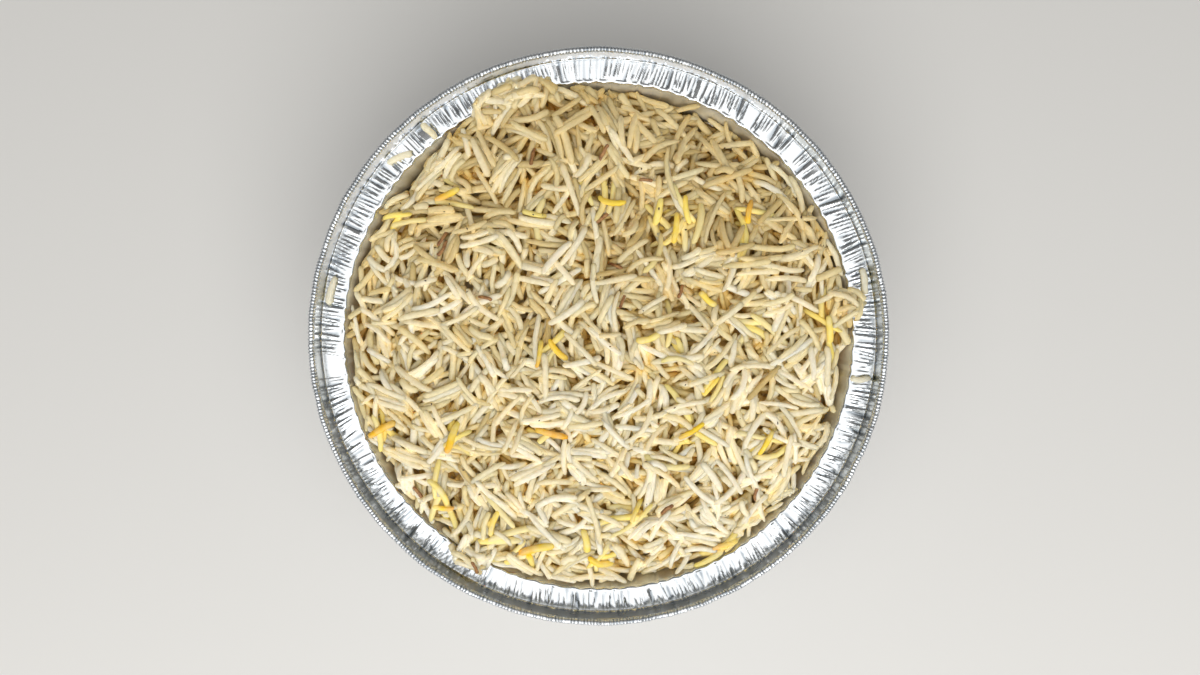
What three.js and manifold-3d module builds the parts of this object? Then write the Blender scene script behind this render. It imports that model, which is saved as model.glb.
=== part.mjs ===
// Basmati rice in a round foil pan, the shallow 7 inch kind that takes a board lid.
// Millimetres, +Z up, the origin at the centre of the face that the pan rests on.

import * as THREE from "three";
import { mergeVertices } from "three/addons/utils/BufferGeometryUtils.js";
import Module from "manifold-3d";

const wasm = await Module();
wasm.setup();

// Driving dimensions: the pan
const foil = 0.6; // thickness of the wall, thicker than real foil so that it makes a solid
const baseRadius = 65; // inner corner between the base and the side wall
const baseFillet = 4;
const mouthRadius = 81.9; // inner edge of the ledge
const mouthFillet = 1;
const ledgeHeight = 44; // the ledge's top face above the resting face
const lipFootRadius = 89.8; // where the ledge turns up into the lip
const lipFillet = 0.8;
const lipTopRadius = 90.1;
const lipHeight = 7.6; // from the ledge up to the middle of the rolled hem
const hemRadius = 0.65;
const panSegments = 96; // two for each pleat
const ledgePleat = 0.28; // height of the pleats pressed into the ledge
const wallFlute = 0.25; // depth of the same pleats where they run down the wall
const hemNick = 0.3; // depth of the nicks round the outside of the hem

// Driving dimensions: the rice
const gap = 0.3; // clearance between the rice and the foil
const crown = 1.9; // the heap's middle above the ledge
const edgeDrop = 1.2; // how far below the ledge the rice meets the wall
const coreDepth = 1.4; // the core's top below the grain tops
const coreUneven = 0.5; // how far the core's facets stand up or sink
const coreSegments = 28;
const coreRings = [0.18, 0.36, 0.53, 0.69, 0.85, 1]; // shares of the core's radius
const grainCount = 225;
const turnTries = 24; // turns tried for each grain of the heap
const bury = 0.4; // how deep a grain's flat side is set into the core
const tilt = 0.1; // how far a grain leans away from the slope under it, in radians
const grain = { length: [11, 17], width: [1.9, 2.4], thickness: 0.85, shoulder: 0.3 };
const grainSection = [[-0.5, -0.25], [0.5, -0.25], [0.28, 0.5], [-0.28, 0.5]]; // across and up

// Where the heap departs from a plain dome: centre, reach and height of each mound or hollow
const lumps = [
  { x: -28, y: 72, reach: 17, rise: 4.2 }, // pile that spills over the ledge
  { x: -41, y: -67, reach: 12, rise: 3.2 }, // smaller spill, diagonally opposite
  { x: 77, y: 13, reach: 10, rise: 2.6 }, // grains that lean out over the ledge
  { x: 44, y: -44, reach: 20, rise: 0.9 },
  { x: 60, y: 27, reach: 14, rise: 1.3 }, // sheaf of grains stuck side by side
  { x: 47, y: 42, reach: 7, rise: -3.2 }, // hole beside the sheaf
  { x: 34, y: 74, reach: 18, rise: -4.2 }, // low stretch along the wall
  { x: 68, y: 44, reach: 11, rise: -3 },
  { x: -60, y: 54, reach: 9, rise: -2.8 },
  { x: 80, y: -14, reach: 14, rise: -2.2 },
  { x: 10, y: -80, reach: 14, rise: -1.6 },
  { x: -24, y: 18, reach: 16, rise: -0.8 },
];

// Spilled grains that reach from the heap out over the ledge: direction in degrees, the radius of
// each grain's middle, how far it is turned away from the radius, and its length
const spills = [
  { at: 100, radius: 78.5, turn: -62, length: 15 },
  { at: 103, radius: 79, turn: 24, length: 13 },
  { at: 107, radius: 80.5, turn: -14, length: 13.5 },
  { at: 111, radius: 81.3, turn: 8, length: 13 },
  { at: 114, radius: 80.2, turn: 44, length: 14 },
  { at: 118, radius: 78.5, turn: -58, length: 14 },
  { at: 235, radius: 79.4, turn: -8, length: 13 },
  { at: 240, radius: 80.4, turn: 12, length: 14 },
  { at: 8, radius: 79.6, turn: 28, length: 15 },
];

// Grains that lie loose on the ledge: direction in degrees, radius of the middle, turn away from
// the radius, length and width
const strays = [
  { at: 128.5, radius: 85.6, turn: 8, length: 6.6, width: 2.2 },
  { at: 137, radius: 86, turn: 66, length: 8.5, width: 2.1 },
  { at: 169, radius: 87.2, turn: 86, length: 9.5, width: 2.3 },
  { at: 13, radius: 87.2, turn: 84, length: 8.5, width: 2.1 },
  { at: 352, radius: 85.6, turn: 10, length: 6.4, width: 2 },
];

const foilLook = new THREE.MeshStandardMaterial({ color: 0xcfd3d6, metalness: 1, roughness: 0.28 });
const riceLook = new THREE.MeshStandardMaterial({ color: 0xe2d4a6, metalness: 0, roughness: 0.5 });

// A repeatable stream of numbers from 0 to 1
function seeded(seed) {
  let state = seed;
  return () => {
    state = (state + 0x6d2b79f5) | 0;
    let mixed = Math.imul(state ^ (state >>> 15), 1 | state);
    mixed = (mixed + Math.imul(mixed ^ (mixed >>> 7), 61 | mixed)) ^ mixed;
    return ((mixed ^ (mixed >>> 14)) >>> 0) / 4294967296;
  };
}

const between = ([low, high], share) => low + (high - low) * share;

// Points of a round corner at `corner`, between the points before and after it
function rounded(before, corner, after, radius, steps) {
  const back = before.clone().sub(corner).normalize();
  const on = after.clone().sub(corner).normalize();
  const halfAngle = Math.acos(THREE.MathUtils.clamp(back.dot(on), -1, 1)) / 2;
  const middle = back.clone().add(on).normalize();
  const centre = corner.clone().addScaledVector(middle, radius / Math.sin(halfAngle));
  const reach = radius / Math.tan(halfAngle);
  const from = corner.clone().addScaledVector(back, reach).sub(centre);
  const to = corner.clone().addScaledVector(on, reach).sub(centre);
  const points = [];
  for (let i = 0; i <= steps; i++) {
    const direction = from.clone().lerp(to, i / steps).normalize();
    points.push(centre.clone().addScaledVector(direction, radius));
  }
  return points;
}

// The line of points moved sideways by `distance`, to the right of its direction
function movedSideways(line, distance) {
  return line.map((point, i) => {
    const before = line[Math.max(i - 1, 0)];
    const after = line[Math.min(i + 1, line.length - 1)];
    const along = after.clone().sub(before).normalize();
    return point.clone().add(new THREE.Vector2(along.y, -along.x).multiplyScalar(distance));
  });
}

// The pan's inner face in section, from the axis out to the foot of the hem
function innerFace() {
  const middle = new THREE.Vector2(0, foil);
  const baseCorner = new THREE.Vector2(baseRadius, foil);
  const mouth = new THREE.Vector2(mouthRadius, ledgeHeight);
  const lipFoot = new THREE.Vector2(lipFootRadius, ledgeHeight);
  const lipTop = new THREE.Vector2(lipTopRadius, ledgeHeight + lipHeight);
  return [
    ...rounded(middle, baseCorner, mouth, baseFillet, 2),
    ...rounded(baseCorner, mouth, lipFoot, mouthFillet, 1),
    new THREE.Vector2((mouthRadius + lipFootRadius) / 2, ledgeHeight),
    ...rounded(mouth, lipFoot, lipTop, lipFillet, 1),
    lipTop,
  ];
}

// The hem rolled outwards at the lip's top, in section, from its inner side over the crest
function hemSection() {
  const centre = new THREE.Vector2(lipTopRadius + hemRadius, ledgeHeight + lipHeight);
  const points = [];
  for (const degrees of [140, 90, 45, 0, -60]) {
    const angle = THREE.MathUtils.degToRad(degrees);
    const direction = new THREE.Vector2(Math.cos(angle), Math.sin(angle));
    points.push(centre.clone().addScaledVector(direction, hemRadius));
  }
  return points;
}

// Closed section of the foil, from the axis under the base round to the axis above it
function panSection() {
  const inside = innerFace();
  const outside = movedSideways(inside.slice(0, -1), foil);
  outside.forEach((point) => (point.y = Math.max(point.y, 0)));
  return [
    new THREE.Vector2(0, 0),
    ...outside,
    ...hemSection().reverse(),
    ...inside.reverse(),
    new THREE.Vector2(0, foil),
  ];
}

// Pleats the turned pan: every second segment stands proud on the ledge, wall and hem
function pleat(geometry) {
  const random = seeded(11);
  const strength = Array.from({ length: panSegments }, () => between([0.55, 1], random()));
  strength[0] = 1;
  const place = geometry.attributes.position;
  const point = new THREE.Vector3();
  for (let i = 0; i < place.count; i++) {
    point.fromBufferAttribute(place, i);
    const radius = Math.hypot(point.x, point.y);
    if (radius < 1) continue;
    const turn = Math.atan2(point.y, point.x) / (2 * Math.PI);
    const segment = (Math.round(turn * panSegments) + panSegments) % panSegments;
    const side = segment % 2 ? -1 : 1;
    let outwards = 0;
    if (radius > mouthRadius + mouthFillet && radius < lipFootRadius - lipFillet) {
      point.z += side * ledgePleat * strength[segment];
    } else if (radius > lipTopRadius + hemRadius && point.z > ledgeHeight + 2) {
      outwards = side < 0 ? -hemNick : 0;
    } else if (radius < mouthRadius && point.z > baseFillet) {
      outwards = (side * wallFlute * strength[segment] * point.z) / ledgeHeight;
    }
    const scale = (radius + outwards) / radius;
    place.setXYZ(i, point.x * scale, point.y * scale, point.z);
  }
}

function foilPan() {
  const turned = new THREE.LatheGeometry(panSection(), panSegments);
  turned.rotateX(Math.PI / 2);
  turned.deleteAttribute("normal");
  turned.deleteAttribute("uv");
  pleat(turned);
  const geometry = mergeVertices(turned, 1e-4);
  geometry.computeVertexNormals();
  const mesh = new THREE.Mesh(geometry, foilLook);
  mesh.name = "foil_pan";
  return mesh;
}

// How far out the rice may reach at a height without touching the fluted wall
function riceRadius(height) {
  const slope = (mouthRadius - baseRadius) / (ledgeHeight - foil);
  const wallRadius = baseRadius + slope * (Math.min(height, ledgeHeight) - foil);
  return wallRadius - wallFlute - 2 * gap;
}

// Height of the grain tops over a point of the pan
function heapTop(x, y) {
  const share = Math.hypot(x, y) / mouthRadius;
  let height = ledgeHeight + crown - (crown + edgeDrop) * share ** 4;
  for (const lump of lumps) {
    const away = Math.hypot(x - lump.x, y - lump.y) / lump.reach;
    height += lump.rise * Math.exp(-away * away);
  }
  return height;
}

function geometryOf(vertices, triangles) {
  const geometry = new THREE.BufferGeometry();
  geometry.setAttribute("position", new THREE.Float32BufferAttribute(vertices, 3));
  geometry.setIndex([...triangles]);
  geometry.computeVertexNormals();
  return geometry;
}

// The rice under the grains that show: it fills the pan and carries the heap's mounds and hollows
function coreShape() {
  const random = seeded(7);
  const vertices = [];
  const triangles = [];
  const floor = foil + gap;
  const ring = (radius, height) => {
    for (let i = 0; i < coreSegments; i++) {
      const angle = (2 * Math.PI * i) / coreSegments;
      const z = height(radius * Math.cos(angle), radius * Math.sin(angle));
      const reach = Math.min(radius, riceRadius(z));
      vertices.push(reach * Math.cos(angle), reach * Math.sin(angle), z);
    }
  };
  const coreTop = (x, y) => heapTop(x, y) - coreDepth + (random() - 0.5) * 2 * coreUneven;
  const edge = riceRadius(ledgeHeight - edgeDrop - coreDepth);
  const shoulderHeight = ledgeHeight - 9;
  vertices.push(0, 0, floor);
  ring(baseRadius - baseFillet, () => floor);
  ring(riceRadius(baseFillet), () => baseFillet + floor);
  ring(riceRadius(shoulderHeight), () => shoulderHeight);
  for (const share of [...coreRings].reverse()) {
    ring(edge * share, coreTop);
  }
  vertices.push(0, 0, coreTop(0, 0));
  const rings = 3 + coreRings.length;
  const last = vertices.length / 3 - 1;
  for (let i = 0; i < coreSegments; i++) {
    const next = (i + 1) % coreSegments;
    triangles.push(0, 1 + next, 1 + i);
    for (let k = 0; k < rings - 1; k++) {
      const low = 1 + k * coreSegments;
      const high = low + coreSegments;
      triangles.push(low + i, low + next, high + next);
      triangles.push(low + i, high + next, high + i);
    }
    const top = 1 + (rings - 1) * coreSegments;
    triangles.push(top + i, top + next, last);
  }
  return { vertices, triangles };
}

// A function that gives the height of the core's top over a point
function heightOver(core) {
  const mesh = new THREE.Mesh(geometryOf(core.vertices, core.triangles));
  const ray = new THREE.Raycaster();
  const down = new THREE.Vector3(0, 0, -1);
  return (x, y) => {
    ray.set(new THREE.Vector3(x, y, 2 * ledgeHeight), down);
    const [hit] = ray.intersectObject(mesh);
    return hit ? hit.point.z : -Infinity;
  };
}

// One grain along X, round its own middle: a slim prism with drawn-out tips, bent sideways by `bow`
function grainShape(length, width, bow = 0) {
  const sides = grainSection.length;
  const vertices = [-length / 2, -bow, 0];
  for (const end of [-1, 1]) {
    for (const [across, up] of grainSection) {
      vertices.push(end * grain.shoulder * length, across * width, up * width * grain.thickness);
    }
  }
  vertices.push(length / 2, -bow, 0);
  const triangles = [];
  const tip = vertices.length / 3 - 1;
  for (let i = 0; i < sides; i++) {
    const a = 1 + i;
    const b = 1 + ((i + 1) % sides);
    const c = a + sides;
    const d = b + sides;
    triangles.push(0, b, a, a, b, d, a, d, c, c, d, tip);
  }
  return { vertices, triangles };
}

// A grain laid with its middle at a point, turned about Z and pitched up at its far end
function layGrain(shape, x, y, z, turn, pitch) {
  const matrix = new THREE.Matrix4().makeTranslation(x, y, z);
  matrix.multiply(new THREE.Matrix4().makeRotationZ(turn));
  matrix.multiply(new THREE.Matrix4().makeRotationY(-pitch));
  const points = [];
  for (let i = 0; i < shape.vertices.length; i += 3) {
    points.push(new THREE.Vector3(...shape.vertices.slice(i, i + 3)).applyMatrix4(matrix));
  }
  const axis = new THREE.Line3(points[0], points[points.length - 1]);
  return { points, triangles: shape.triangles, axis };
}

// True where a point keeps its gap to the wall, the ledge and the lip
function clearOfPan(point) {
  const radius = Math.hypot(point.x, point.y);
  const overLedge = point.z > ledgeHeight + ledgePleat + gap && radius < lipFootRadius - 2 * gap;
  return overLedge || radius < riceRadius(point.z);
}

// The same for a whole grain, by its vertices and the middles of its edges
function clearGrain({ points, triangles }) {
  const middles = [];
  for (let i = 0; i < triangles.length; i += 3) {
    const [a, b, c] = triangles.slice(i, i + 3).map((vertex) => points[vertex]);
    middles.push(a.clone().lerp(b, 0.5), b.clone().lerp(c, 0.5), c.clone().lerp(a, 0.5));
  }
  return [...points, ...middles].every(clearOfPan);
}

// How near a grain's axis comes to the axes of the grains laid before it
function nearestGrain(axis, laidAxes) {
  const on = new THREE.Vector3();
  const from = new THREE.Vector3();
  let nearest = Infinity;
  for (const other of laidAxes) {
    for (let step = 0; step <= 4; step++) {
      axis.at(step / 4, from);
      other.closestPointToPoint(from, true, on);
      nearest = Math.min(nearest, from.distanceTo(on));
      other.at(step / 4, from);
      axis.closestPointToPoint(from, true, on);
      nearest = Math.min(nearest, from.distanceTo(on));
    }
  }
  return nearest;
}

// Grains spread evenly over the heap on a sunflower spiral, each laid on the core's facets and
// turned where it keeps most clear of the grains before it
function heapGrains(coreHeight) {
  const random = seeded(2024);
  const goldenAngle = Math.PI * (3 - Math.sqrt(5));
  const reach = mouthRadius - 3;
  const grains = [];
  const axes = [];
  for (let i = 0; i < grainCount; i++) {
    const radius = reach * Math.sqrt((i + 0.5) / grainCount);
    const angle = i * goldenAngle + (random() - 0.5) * 0.05;
    const x = radius * Math.cos(angle);
    const y = radius * Math.sin(angle);
    const length = between(grain.length, random());
    const width = between(grain.width, random());
    const shape = grainShape(length, width, (random() - 0.5) * 1.6);
    const sink = (width * grain.thickness) / 4 - bury;
    let best = null;
    for (let tries = 0; tries < turnTries; tries++) {
      const turn = random() * Math.PI;
      const dx = Math.cos(turn) * length * grain.shoulder;
      const dy = Math.sin(turn) * length * grain.shoulder;
      const ahead = coreHeight(x + dx, y + dy);
      const behind = coreHeight(x - dx, y - dy);
      const lean = (random() - 0.5) * 2 * tilt;
      if (Math.min(ahead, behind) < 0) continue;
      const pitch = Math.atan2(ahead - behind, 2 * length * grain.shoulder) + lean;
      const laidGrain = layGrain(shape, x, y, (ahead + behind) / 2 + sink, turn, pitch);
      const distance = nearestGrain(laidGrain.axis, axes);
      if (clearGrain(laidGrain) && (!best || distance > best.distance)) {
        best = { ...laidGrain, distance };
      }
    }
    if (best) {
      grains.push(best);
      axes.push(best.axis);
    }
  }
  return grains;
}

// Grains of the spills, which start inside the heap and end over the ledge
function spillGrains() {
  return spills.map((spill, i) => {
    const angle = THREE.MathUtils.degToRad(spill.at);
    const turn = angle + THREE.MathUtils.degToRad(spill.turn);
    const shape = grainShape(spill.length, grain.width[1], i % 2 ? 0.6 : -0.4);
    const x = spill.radius * Math.cos(angle);
    const y = spill.radius * Math.sin(angle);
    let z = ledgeHeight + ledgePleat + gap + grain.width[1] / 4;
    let laidGrain = layGrain(shape, x, y, z, turn, 0);
    while (!clearGrain(laidGrain) && z < ledgeHeight + 4) {
      z += 0.1;
      laidGrain = layGrain(shape, x, y, z, turn, 0);
    }
    return laidGrain;
  });
}

function solidOf({ vertices, triangles }) {
  const mesh = new wasm.Mesh({
    numProp: 3,
    vertProperties: new Float32Array(vertices),
    triVerts: new Uint32Array(triangles),
  });
  return new wasm.Manifold(mesh);
}

// The heap: core and grains fused into one body, without the hollows that fusing seals
function riceHeap() {
  const core = coreShape();
  const pieces = [solidOf(core)];
  for (const { points, triangles } of [...heapGrains(heightOver(core)), ...spillGrains()]) {
    const vertices = points.flatMap((point) => point.toArray());
    pieces.push(solidOf({ vertices, triangles }));
  }
  const fused = wasm.Manifold.union(pieces);
  const bodies = fused.decompose();
  const heap = bodies.reduce((best, body) => (body.volume() > best.volume() ? body : best));
  const made = heap.getMesh();
  const mesh = new THREE.Mesh(geometryOf(made.vertProperties, made.triVerts), riceLook);
  mesh.name = "rice_heap";
  return mesh;
}

// Grains that lie by themselves on the ledge, each one its own piece
function strayGrains() {
  return strays.map((stray, i) => {
    const shape = grainShape(stray.length, stray.width, 0.25);
    const mesh = new THREE.Mesh(geometryOf(shape.vertices, shape.triangles), riceLook);
    const angle = THREE.MathUtils.degToRad(stray.at);
    const lift = ledgePleat + gap + (stray.width * grain.thickness) / 4;
    mesh.position.set(
      stray.radius * Math.cos(angle),
      stray.radius * Math.sin(angle),
      ledgeHeight + lift,
    );
    mesh.rotation.z = angle + THREE.MathUtils.degToRad(stray.turn);
    mesh.name = `stray_grain_${i + 1}`;
    return mesh;
  });
}

const bowlOfRice = new THREE.Group();
bowlOfRice.add(foilPan(), riceHeap(), ...strayGrains());

export default bowlOfRice;
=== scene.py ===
# Basmati rice heaped in a round foil pan, seen from above
import math

import bpy
import numpy as np
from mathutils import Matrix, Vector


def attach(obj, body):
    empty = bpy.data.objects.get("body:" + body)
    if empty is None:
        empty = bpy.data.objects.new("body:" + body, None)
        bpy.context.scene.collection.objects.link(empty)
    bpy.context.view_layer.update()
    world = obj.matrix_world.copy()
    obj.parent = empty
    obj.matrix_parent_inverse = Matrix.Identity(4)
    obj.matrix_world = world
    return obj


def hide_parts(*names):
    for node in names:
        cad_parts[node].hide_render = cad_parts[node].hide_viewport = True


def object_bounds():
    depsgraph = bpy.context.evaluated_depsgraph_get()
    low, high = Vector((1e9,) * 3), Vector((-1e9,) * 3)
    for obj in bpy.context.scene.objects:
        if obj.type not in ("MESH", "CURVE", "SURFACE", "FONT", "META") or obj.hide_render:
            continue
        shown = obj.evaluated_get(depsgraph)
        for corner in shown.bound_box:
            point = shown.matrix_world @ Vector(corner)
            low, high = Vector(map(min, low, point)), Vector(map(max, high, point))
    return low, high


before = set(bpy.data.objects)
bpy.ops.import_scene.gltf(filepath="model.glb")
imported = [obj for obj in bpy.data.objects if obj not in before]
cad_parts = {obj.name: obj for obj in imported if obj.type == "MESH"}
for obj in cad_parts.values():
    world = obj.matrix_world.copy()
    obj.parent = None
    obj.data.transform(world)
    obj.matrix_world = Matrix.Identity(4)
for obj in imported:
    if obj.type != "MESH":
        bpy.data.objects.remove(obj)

cadLow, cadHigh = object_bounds()
mm = 0.001
fullTurn = 2 * math.pi

# millimetres until a mesh is made; the pan's inner face is the solid's
pan = {
    "rimRadius": cadHigh.x / mm,
    "rimHeight": cadHigh.z / mm,
    "ledgeHeight": 44.0,
    "mouthRadius": 81.9,
    "lipRadius": 89.8,
    "lipFillet": 0.8,
    "baseRadius": 65.0,
    "baseFillet": 4.0,
    "foil": 0.22,
}


def nothingSelected():
    for thing in bpy.context.selected_objects:
        thing.select_set(False)


def pickOnly(piece):
    nothingSelected()
    piece.select_set(True)
    bpy.context.view_layer.objects.active = piece


# a piece from arrays of points and of faces, each set with the same number of corners
def arrayPiece(name, points, *faceSets):
    mesh = bpy.data.meshes.new(name)
    mesh.vertices.add(len(points))
    mesh.vertices.foreach_set("co", (np.asarray(points, np.float32) * mm).reshape(-1))
    corners = np.concatenate([faces.reshape(-1) for faces in faceSets])
    sizes = np.concatenate([np.full(len(faces), faces.shape[1]) for faces in faceSets])
    mesh.loops.add(len(corners))
    mesh.loops.foreach_set("vertex_index", corners.astype(np.int32))
    mesh.polygons.add(len(sizes))
    mesh.polygons.foreach_set("loop_start", (np.cumsum(sizes) - sizes).astype(np.int32))
    mesh.update(calc_edges=True)
    piece = bpy.data.objects.new(name, mesh)
    bpy.context.scene.collection.objects.link(piece)
    pickOnly(piece)
    bpy.ops.object.shade_smooth()
    return piece


def pointValues(piece, name, values):
    attribute = piece.data.attributes.new(name, "FLOAT", "POINT")
    attribute.data.foreach_set("value", np.asarray(values, np.float32).reshape(-1))


def readPoints(piece):
    points = np.empty(len(piece.data.vertices) * 3, np.float32)
    piece.data.vertices.foreach_get("co", points)
    return points.reshape(-1, 3).astype(float) / mm


def writePoints(piece, points):
    piece.data.vertices.foreach_set("co", (points * mm).astype(np.float32).reshape(-1))
    piece.data.update()


def roundPlaces(points):
    radius = np.hypot(points[:, 0], points[:, 1])
    return radius, np.arctan2(points[:, 1], points[:, 0]) % fullTurn


def writeRound(piece, radius, angles, heights):
    writePoints(piece, np.stack([radius * np.cos(angles), radius * np.sin(angles), heights], -1))


# a closed section of (radius, height) points, drawn by extruding and spun about the axis
def turned(name, section, steps):
    nothingSelected()
    bpy.ops.mesh.primitive_plane_add(size=0.01, location=(0, 0, 0))
    piece = bpy.context.object
    piece.name = piece.data.name = name
    corners = piece.data.vertices
    bpy.ops.object.mode_set(mode="EDIT")
    bpy.ops.mesh.select_mode(type="VERT")
    bpy.ops.mesh.select_all(action="DESELECT")
    bpy.ops.object.mode_set(mode="OBJECT")
    for corner in corners[1:]:
        corner.select = True
    corners[0].co = (section[0][0] * mm, 0, section[0][1] * mm)
    bpy.ops.object.mode_set(mode="EDIT")
    bpy.ops.mesh.delete(type="VERT")
    bpy.ops.mesh.select_all(action="SELECT")
    for (radius, height), (nextRadius, nextHeight) in zip(section, section[1:]):
        step = ((nextRadius - radius) * mm, 0, (nextHeight - height) * mm)
        bpy.ops.mesh.extrude_region_move(TRANSFORM_OT_translate={"value": step})
    bpy.ops.object.mode_set(mode="OBJECT")
    screw = piece.modifiers.new("turn", "SCREW")
    screw.angle = fullTurn
    screw.steps = screw.render_steps = steps
    bpy.ops.object.modifier_apply(modifier="turn")
    bpy.ops.object.mode_set(mode="EDIT")
    bpy.ops.mesh.select_all(action="SELECT")
    bpy.ops.mesh.remove_doubles(threshold=0.000002)
    bpy.ops.mesh.normals_make_consistent(inside=False)
    bpy.ops.object.mode_set(mode="OBJECT")
    bpy.ops.object.shade_smooth()
    return piece


def newMaterial(name):
    material = bpy.data.materials.new(name)
    material.use_nodes = True
    tree = material.node_tree
    return material, tree, tree.nodes["Principled BSDF"]


def ramp(tree, value, stops):
    node = tree.nodes.new("ShaderNodeValToRGB")
    elements = node.color_ramp.elements
    while len(elements) < len(stops):
        elements.new(0.5)
    for element, (place, colour) in zip(elements, stops):
        element.position = place
        element.color = (*colour, 1.0)
    tree.links.new(value, node.inputs["Fac"])
    return node.outputs["Color"]


def noise(tree, vector, scale, detail=3.0, rough=0.5):
    node = tree.nodes.new("ShaderNodeTexNoise")
    node.inputs["Scale"].default_value = scale
    node.inputs["Detail"].default_value = detail
    node.inputs["Roughness"].default_value = rough
    tree.links.new(vector, node.inputs["Vector"])
    return node.outputs["Fac"]


def fromTo(tree, value, low, high, newLow=0.0, newHigh=1.0):
    node = tree.nodes.new("ShaderNodeMapRange")
    limits = {"From Min": low, "From Max": high, "To Min": newLow, "To Max": newHigh}
    for name, number in limits.items():
        node.inputs[name].default_value = number
    tree.links.new(value, node.inputs["Value"])
    return node.outputs["Result"]


def mixColours(tree, share, first, second, how="MIX"):
    node = tree.nodes.new("ShaderNodeMix")
    node.data_type = "RGBA"
    node.blend_type = how
    sockets = node.inputs[0], node.inputs[6], node.inputs[7]
    for socket, value in zip(sockets, (share, first, second)):
        if isinstance(value, (int, float)):
            socket.default_value = value
        elif isinstance(value, tuple):
            socket.default_value = (*value, 1.0)
        else:
            tree.links.new(value, socket)
    return node.outputs[2]


def tinted(tree, colour, by):
    return mixColours(tree, 1.0, colour, by, "MULTIPLY")


def calculate(tree, how, first, second=0.0):
    node = tree.nodes.new("ShaderNodeMath")
    node.operation = how
    for socket, value in zip(node.inputs, (first, second)):
        if isinstance(value, (int, float)):
            socket.default_value = value
        else:
            tree.links.new(value, socket)
    return node.outputs[0]


def pointValue(tree, name):
    node = tree.nodes.new("ShaderNodeAttribute")
    node.attribute_name = name
    return node.outputs["Fac"]


def bump(tree, shader, height, strength, distance):
    node = tree.nodes.new("ShaderNodeBump")
    node.inputs["Strength"].default_value = strength
    node.inputs["Distance"].default_value = distance
    tree.links.new(height, node.inputs["Height"])
    tree.links.new(node.outputs["Normal"], shader.inputs["Normal"])


# the heap's form, the same as the solid's
heap = {
    "crown": 1.9,
    "edgeDrop": 1.2,
    "coreDepth": 5.5,
    "lumps": [  # x, y, reach, rise
        (-28, 72, 17, 4.2), (-41, -67, 12, 3.2), (77, 13, 10, 2.6), (44, -44, 20, 0.9),
        (60, 27, 14, 1.3), (47, 42, 7, -3.2), (34, 74, 18, -4.2), (68, 44, 11, -3.0),
        (-60, 54, 9, -2.8), (80, -14, 14, -2.2), (10, -80, 14, -1.6), (-24, 18, 16, -0.8),
    ],
    # where rice lies out on the ledge: direction, half width in degrees and reach
    "spills": [(109, 9.5, 87.4), (239, 5, 86.8), (9, 4, 87.0)],
    "hollows": [  # smaller pits between the grains: x, y, reach, depth
        (-38, 46, 8, 3.2), (-51, 36, 8, 2.4), (17, 37, 8, 2.2), (4, 31, 7, 1.8), (-21, 8, 7, 2.8),
        (21, 16, 7, 2.0), (3, 50, 7, 1.8), (-30, 64, 8, 2.0), (30, 12, 6, 1.5), (44, -4, 7, 1.6),
        (-66, 22, 6, 1.6), (-36, -22, 6, 1.5), (-14, -33, 6, 1.2), (25, -47, 6, 1.6), (52, -50, 6, 1.6),
        (70, 20, 6, 1.6), (-70, 6, 6, 1.5), (8, -12, 5, 1.2), (-47, -8, 6, 1.3),
    ],
    "hollowStrength": 1.55,
    "ripple": 0.55,
}


# adds round humps, or hollows where the rise is less than nothing
def withHumps(height, x, y, humps, strength=1):
    for humpX, humpY, reach, rise in humps:
        away = np.hypot(x - humpX, y - humpY) / reach
        height = height + strength * rise * np.exp(-away * away)
    return height


def heapTop(x, y):
    share = np.hypot(x, y) / pan["mouthRadius"]
    height = pan["ledgeHeight"] + heap["crown"]
    height = height - (heap["crown"] + heap["edgeDrop"]) * np.minimum(share, 1.06) ** 4
    return withHumps(height, x, y, heap["lumps"])


# the tops of the grains, with the small humps and pits that the solid leaves out
rippleRandom = np.random.default_rng(31)
rippleWaves = [
    (length, rippleRandom.random() * fullTurn, rippleRandom.random() * fullTurn)
    for length in (31, 27, 23, 19, 17, 15, 13.5, 12, 11, 10, 9)
]


def ripples(x, y):
    total = 0
    for length, direction, phase in rippleWaves:
        steps = (x * math.cos(direction) + y * math.sin(direction)) * fullTurn / length
        total = total + np.sin(steps + phase)
    return total * heap["ripple"] / 2


def grainTop(x, y):
    height = heapTop(x, y) + ripples(x, y) + 0.3
    return withHumps(height, x, y, heap["hollows"], -heap["hollowStrength"])


# painted light and shade by place, paler on the near side where the lamps are and browner over the
# hollows: x, y, reach, change
paintedLightAndShadePlaces = [
    (46, 36, 10, -0.6), (-5, 74, 9, -0.4), (-38, 45, 10, -0.45), (64, 38, 9, -0.5), (29, 68, 12, -0.45),
    (-30, 65, 9, -0.35), (-51, 35, 9, -0.4), (44, 60, 10, -0.4), (17, 36, 9, -0.4), (-21, 7, 8, -0.45),
    (5, 30, 8, -0.3), (3, 50, 8, -0.35), (14, 72, 9, -0.4), (21, 16, 7, -0.35), (-13, 66, 9, -0.35),
    (32, -63, 11, 0.3), (-64, -38, 10, 0.3), (-9, -52, 10, 0.3), (-31, -66, 10, 0.25), (5, -33, 9, 0.25),
    (40, -55, 10, 0.25), (-53, -39, 9, 0.2), (40, -35, 9, 0.25), (17, -17, 9, 0.25), (-28, 76, 9, 0.2),
]
paintedLightAndShadeStrength = 1.9


# painted light and shade: paler on the ripples' humps and towards -y, where the lamps stand, plus the
# places above
def paintedLightAndShade(x, y):
    return withHumps(0.1 * ripples(x, y) - 0.0034 * y, x, y, paintedLightAndShadePlaces, paintedLightAndShadeStrength)


# the way most grains lie over a place, in radians
def combedWay(x, y):
    return 1.9 * np.sin(x / 23 + 0.8 * np.sin(y / 17)) + 1.6 * np.cos(y / 19 - 0.7 * np.sin(x / 13) + 1)


def wallRadius(height):
    slope = (pan["mouthRadius"] - pan["baseRadius"]) / (pan["ledgeHeight"] - pan["foil"])
    return pan["baseRadius"] + slope * (height - pan["foil"])


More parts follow.
